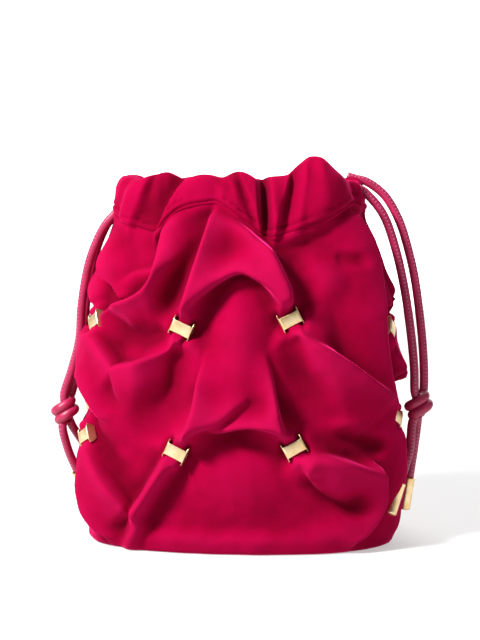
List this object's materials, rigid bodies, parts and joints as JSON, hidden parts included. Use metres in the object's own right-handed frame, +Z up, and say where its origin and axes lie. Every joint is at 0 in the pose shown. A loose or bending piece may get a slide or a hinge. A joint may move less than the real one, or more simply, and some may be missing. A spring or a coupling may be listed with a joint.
{
  "type": "bucket bag",
  "caption": "Velvet bucket bag with an oval base, folds pinched by brass clips, and a channelled mouth drawn in by leather cords that knot at each side.",
  "frame": {"origin": "under the middle of the base, on the surface that the bag stands on", "axes": "+Z up, the front faces -Y, +X to the right seen from the front"},
  "size_m": [0.2194, 0.1252, 0.209],
  "materials": {
    "velvet": "crimson velvet with a short dense pile",
    "lining": "plain woven lining",
    "leather": "smooth stitched leather cord",
    "brass": "polished pale gold plating",
    "board": "stiff pulp board"
  },
  "bodies": {
    "root": {"outer_base": "velvet", "base_board": "board", "lining_base": "lining", "outer_front": "velvet", "outer_back": "velvet", "lining_front": "lining", "lining_back": "lining", "channel_right": "velvet", "channel_left": "velvet", "right_cord_turn": "leather", "left_cord_turn": "leather", "clip_front_upper_far_left": "brass", "clip_front_upper_left": "brass", "clip_front_upper_right": "brass", "clip_front_upper_far_right": "brass", "clip_front_lower_far_left": "brass", "clip_front_lower_left": "brass", "clip_front_lower_right": "brass", "clip_front_lower_far_right": "brass", "clip_back_upper_far_left": "brass", "clip_back_upper_left": "brass", "clip_back_upper_right": "brass", "clip_back_upper_far_right": "brass", "clip_back_lower_far_left": "brass", "clip_back_lower_left": "brass", "clip_back_lower_right": "brass", "clip_back_lower_far_right": "brass"},
    "mouth_front": {"channel_front": "velvet", "right_cord_front_run": "leather", "left_cord_front_run": "leather"},
    "mouth_back": {"channel_back": "velvet", "right_cord_back_run": "leather", "left_cord_back_run": "leather"},
    "right_draw": {"right_front_stub": "leather", "right_back_stub": "leather"},
    "left_draw": {"left_front_stub": "leather", "left_back_stub": "leather"},
    "right_loop": {"right_front_strand": "leather", "right_back_strand": "leather", "right_knot": "leather"},
    "left_loop": {"left_front_strand": "leather", "left_back_strand": "leather", "left_knot": "leather"},
    "right_front_end": {"right_front_tail": "leather", "right_front_ferrule": "brass", "right_front_set_screw": "brass"},
    "right_back_end": {"right_back_tail": "leather", "right_back_ferrule": "brass", "right_back_set_screw": "brass"},
    "left_front_end": {"left_front_tail": "leather", "left_front_ferrule": "brass", "left_front_set_screw": "brass"},
    "left_back_end": {"left_back_tail": "leather", "left_back_ferrule": "brass", "left_back_set_screw": "brass"}
  },
  "joints": [
    {"name": "mouth_front_draw", "type": "slide", "parent": "root", "child": "mouth_front", "axis": [0, 1, 0], "range_m": [0, 0.016]},
    {"name": "mouth_back_draw", "type": "slide", "parent": "root", "child": "mouth_back", "axis": [0, -1, 0], "range_m": [0, 0.016]},
    {"name": "right_cord_pull", "type": "slide", "parent": "root", "child": "right_draw", "axis": [1, 0, 0], "range_m": [0, 0.012]},
    {"name": "left_cord_pull", "type": "slide", "parent": "root", "child": "left_draw", "axis": [-1, 0, 0], "range_m": [0, 0.012]},
    {"name": "right_loop_swing", "type": "hinge", "parent": "right_draw", "child": "right_loop", "pos_m": [0.069, 0, 0.205], "axis": [0, -1, 0], "range_deg": [0, 110]},
    {"name": "left_loop_swing", "type": "hinge", "parent": "left_draw", "child": "left_loop", "pos_m": [-0.068, 0, 0.1881], "axis": [0, 1, 0], "range_deg": [0, 105]},
    {"name": "right_front_tail_swing", "type": "hinge", "parent": "right_loop", "child": "right_front_end", "pos_m": [0.09946, -0.0085, 0.07026], "axis": [0, -1, 0], "range_deg": [0, 45]},
    {"name": "right_back_tail_swing", "type": "hinge", "parent": "right_loop", "child": "right_back_end", "pos_m": [0.10161, -0.00421, 0.07041], "axis": [0, -1, 0], "range_deg": [0, 45]},
    {"name": "left_front_tail_swing", "type": "hinge", "parent": "left_loop", "child": "left_front_end", "pos_m": [-0.10257, -0.00128, 0.06431], "axis": [0, 1, 0], "range_deg": [0, 45]},
    {"name": "left_back_tail_swing", "type": "hinge", "parent": "left_loop", "child": "left_back_end", "pos_m": [-0.09939, 0.00308, 0.0641], "axis": [0, 1, 0], "range_deg": [0, 45]}
  ],
  "couplings": [
    {"joint": "mouth_back_draw", "follows": "mouth_front_draw", "ratio": 1},
    {"joint": "right_cord_pull", "follows": "mouth_front_draw", "ratio": 0.75},
    {"joint": "left_cord_pull", "follows": "mouth_front_draw", "ratio": 0.75}
  ]
}
